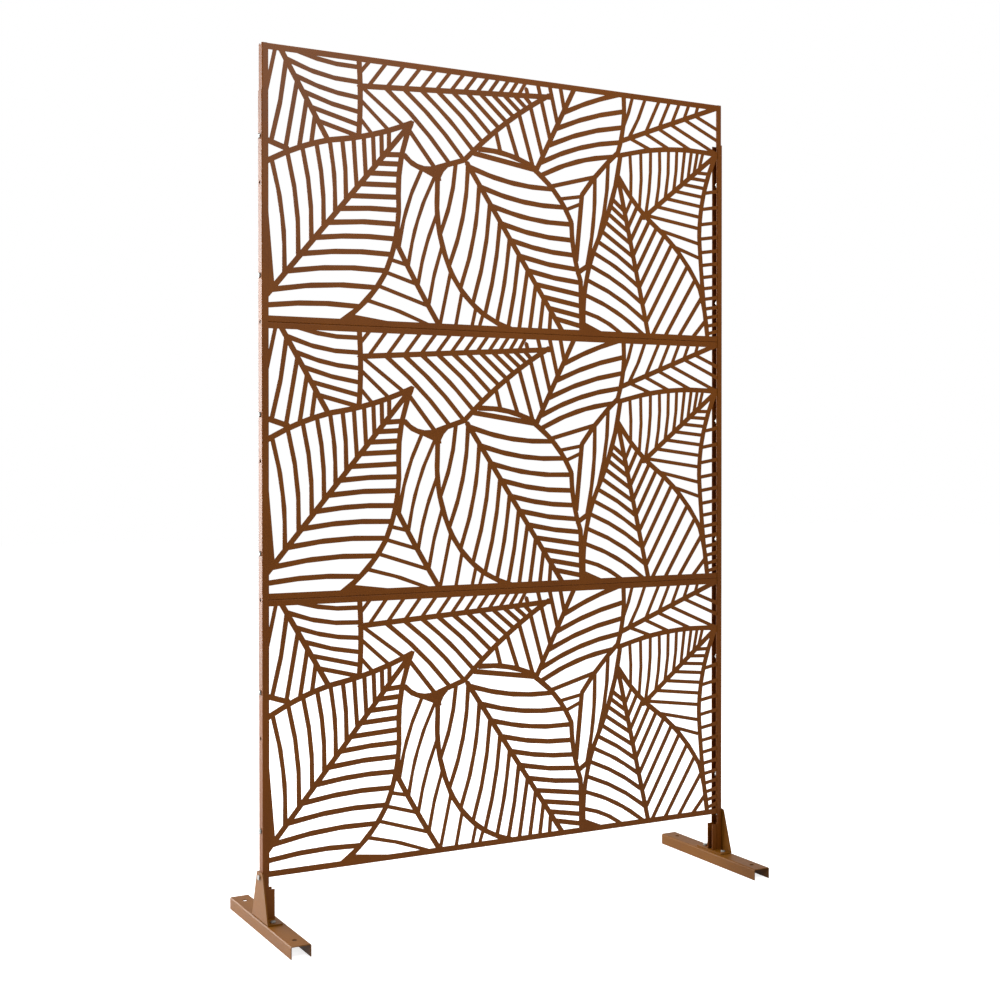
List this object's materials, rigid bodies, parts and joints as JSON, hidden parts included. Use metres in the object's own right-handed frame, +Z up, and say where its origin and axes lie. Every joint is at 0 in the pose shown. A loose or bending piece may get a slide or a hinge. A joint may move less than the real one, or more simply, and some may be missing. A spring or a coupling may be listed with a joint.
{
  "type": "metal privacy screen",
  "caption": "Free-standing outdoor privacy screen: leaf-cut sheet metal panels stacked between two channel posts, each on a cross foot with a tapered bracket.",
  "frame": {"origin": "on the floor, under the middle of the screen, midway along the feet", "axes": "+X to the right along the panels seen from the front, +Y to the back along the feet, +Z up"},
  "size_m": [1.2332, 0.4064, 1.9304],
  "materials": {
    "panel_coat": "satin brown powder coat",
    "frame_coat": "satin brown powder coat",
    "foot_coat": "satin brown powder coat",
    "zinc": "bright zinc plate"
  },
  "bodies": {
    "root": {"top_panel": "panel_coat", "middle_panel": "panel_coat", "bottom_panel": "panel_coat", "left_upper_post": "frame_coat", "left_middle_post": "frame_coat", "left_lower_post": "frame_coat", "left_bracket": "frame_coat", "left_socket": "frame_coat", "right_upper_post": "frame_coat", "right_middle_post": "frame_coat", "right_lower_post": "frame_coat", "right_bracket": "frame_coat", "right_socket": "frame_coat", "left_foot": "foot_coat", "right_foot": "foot_coat", "left_post_bolts": "zinc", "left_post_washers": "zinc", "left_post_nuts": "zinc", "left_bracket_bolt": "zinc", "left_bracket_nut": "zinc", "left_foot_bolts": "zinc", "left_foot_nuts": "zinc", "right_post_bolts": "zinc", "right_post_washers": "zinc", "right_post_nuts": "zinc", "right_bracket_bolt": "zinc", "right_bracket_nut": "zinc", "right_foot_bolts": "zinc", "right_foot_nuts": "zinc", "upper_joint_bolts": "zinc", "upper_joint_nuts": "zinc", "lower_joint_bolts": "zinc", "lower_joint_nuts": "zinc"}
  },
  "joints": []
}
